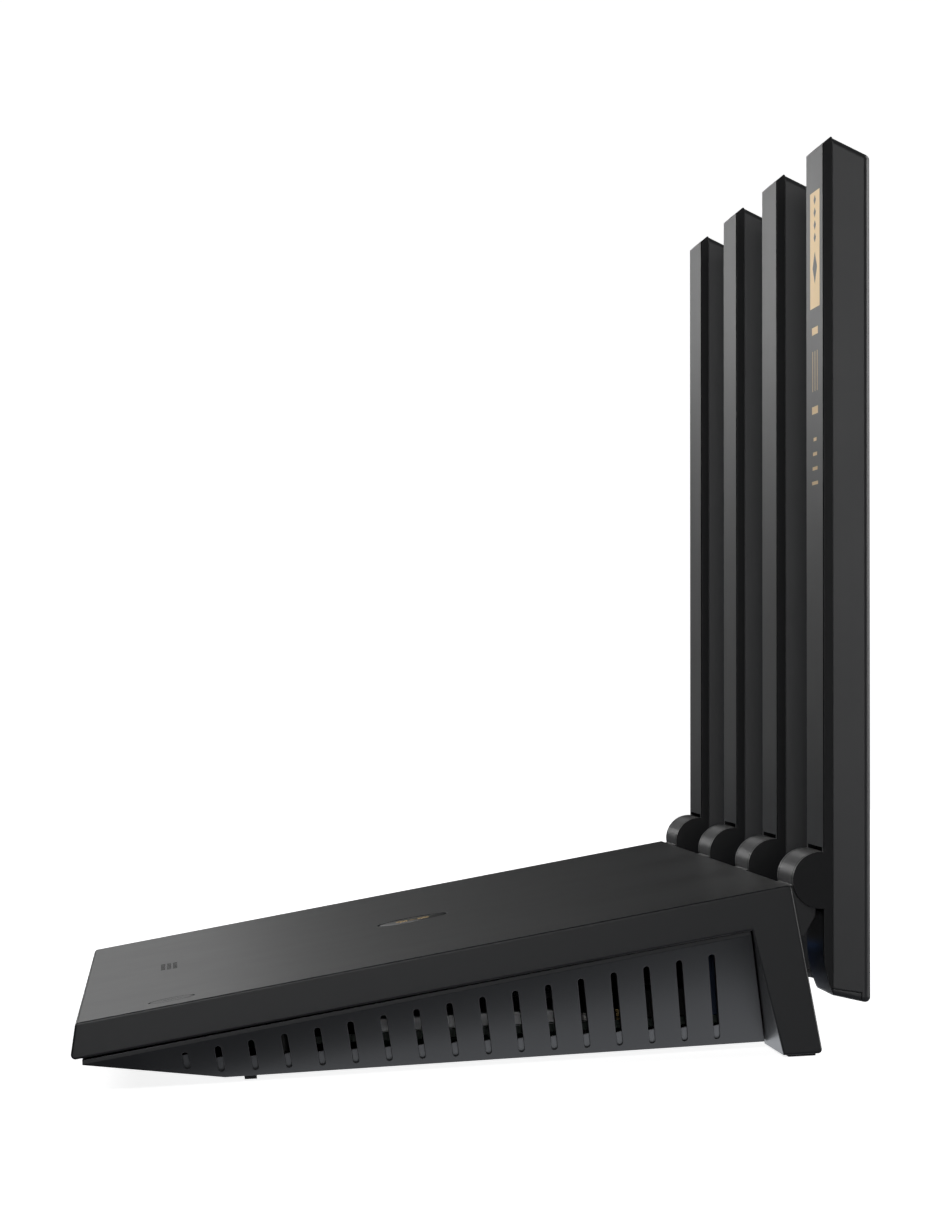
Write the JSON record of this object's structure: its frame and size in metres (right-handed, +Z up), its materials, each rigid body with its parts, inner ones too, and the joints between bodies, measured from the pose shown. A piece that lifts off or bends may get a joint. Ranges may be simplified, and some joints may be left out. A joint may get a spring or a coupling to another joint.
{
  "type": "wireless router",
  "caption": "Wedge-shaped wireless router on rear legs, with folding blade antennas, rear network sockets and push buttons.",
  "frame": {"origin": "on the table, under the middle of the overall box", "axes": "+X to the router's right as seen from the front, +Y to the rear where the antennas stand, +Z up"},
  "size_m": [0.225, 0.1645, 0.1803],
  "materials": {
    "lid_plastic": "satin moulded black, fine spark-eroded texture",
    "base_plastic": "satin moulded black",
    "panel_plastic": "fine matte black",
    "hinge_plastic": "satin black",
    "antenna_shell": "satin black",
    "foot_rubber": "matte rubber",
    "button_plastic": "satin black",
    "port_plastic": "moulded black",
    "port_plastic_blue": "moulded blue",
    "light_guide": "frosted clear",
    "gold_badge": "satin gold foil",
    "gold_plate": "gold flash",
    "steel": "zinc plated",
    "black_screw": "black oxide",
    "tin_plate": "tin plated",
    "aluminium": "bead blasted",
    "thermal_pad": "silicone pad",
    "circuit_board": "green solder mask",
    "coil_film": "polyimide film with copper loop",
    "chip_plastic": "moulded epoxy",
    "capacitor_can": "sleeved can",
    "label_paper": "blank satin label",
    "cable_jacket": "thin coaxial jacket"
  },
  "bodies": {
    "case": {"antenna_1_bracket": "hinge_plastic", "antenna_2_bracket": "hinge_plastic", "antenna_3_bracket": "hinge_plastic", "antenna_4_bracket": "hinge_plastic", "antenna_cables": "cable_jacket", "antenna_sockets": "gold_plate", "badge": "gold_badge", "board_screws": "steel", "bottom_cover": "base_plastic", "bracket_screws": "steel", "button_board": "circuit_board", "capacitors": "capacitor_can", "case_screws": "black_screw", "dc_jack": "port_plastic", "dc_jack_pin": "steel", "front_foot": "foot_rubber", "heat_spreader": "aluminium", "hinge_pins": "steel", "lan_port_1": "port_plastic", "lan_port_2": "port_plastic", "lan_port_3": "port_plastic", "main_board": "circuit_board", "memory_chips": "chip_plastic", "network_transformers": "chip_plastic", "pair_switch": "port_plastic", "port_contacts": "gold_plate", "power_inductors": "chip_plastic", "power_switch": "port_plastic", "processor": "chip_plastic", "radio_shields": "tin_plate", "rating_label": "label_paper", "rear_foot_pads": "foot_rubber", "rear_panel": "panel_plastic", "reset_switch": "port_plastic", "status_led": "light_guide", "switch_chip": "chip_plastic", "tap_coil": "coil_film", "thermal_pads": "thermal_pad", "top_cover": "lid_plastic", "wan_port": "port_plastic_blue"},
    "antenna_1": {"antenna_1_front_cover": "antenna_shell", "antenna_1_back_cover": "antenna_shell", "antenna_1_end_cap": "antenna_shell", "antenna_1_board": "circuit_board"},
    "antenna_2": {"antenna_2_front_cover": "antenna_shell", "antenna_2_back_cover": "antenna_shell", "antenna_2_end_cap": "antenna_shell", "antenna_2_board": "circuit_board"},
    "antenna_3": {"antenna_3_front_cover": "antenna_shell", "antenna_3_back_cover": "antenna_shell", "antenna_3_end_cap": "antenna_shell", "antenna_3_board": "circuit_board"},
    "antenna_4": {"antenna_4_front_cover": "antenna_shell", "antenna_4_back_cover": "antenna_shell", "antenna_4_end_cap": "antenna_shell", "antenna_4_board": "circuit_board"},
    "power_button": {"power_button": "button_plastic"},
    "reset_button": {"reset_button": "button_plastic"},
    "pair_button": {"pair_button": "button_plastic", "light_line": "light_guide"}
  },
  "joints": [
    {"name": "antenna_1_fold", "type": "hinge", "parent": "case", "child": "antenna_1", "pos_m": [0.1002, 0.06588, 0.0343], "axis": [1, 0, 0], "range_deg": [-5, 95]},
    {"name": "antenna_2_fold", "type": "hinge", "parent": "case", "child": "antenna_2", "pos_m": [0.0334, 0.06588, 0.0343], "axis": [1, 0, 0], "range_deg": [-5, 95]},
    {"name": "antenna_3_fold", "type": "hinge", "parent": "case", "child": "antenna_3", "pos_m": [-0.0334, 0.06588, 0.0343], "axis": [1, 0, 0], "range_deg": [-5, 95]},
    {"name": "antenna_4_fold", "type": "hinge", "parent": "case", "child": "antenna_4", "pos_m": [-0.1002, 0.06588, 0.0343], "axis": [1, 0, 0], "range_deg": [-5, 95]},
    {"name": "power_press", "type": "slide", "parent": "case", "child": "power_button", "axis": [0, -1, 0], "range_m": [0, 0.0015], "stiffness_N_per_m": 900, "springref_m": -0.001},
    {"name": "reset_press", "type": "slide", "parent": "case", "child": "reset_button", "axis": [0, -1, 0], "range_m": [0, 0.0004], "stiffness_N_per_m": 2500, "springref_m": -0.0004},
    {"name": "pair_press", "type": "slide", "parent": "case", "child": "pair_button", "axis": [0, 0.1388, -0.9903], "range_m": [0, 0.0004], "stiffness_N_per_m": 2500, "springref_m": -0.0004}
  ]
}
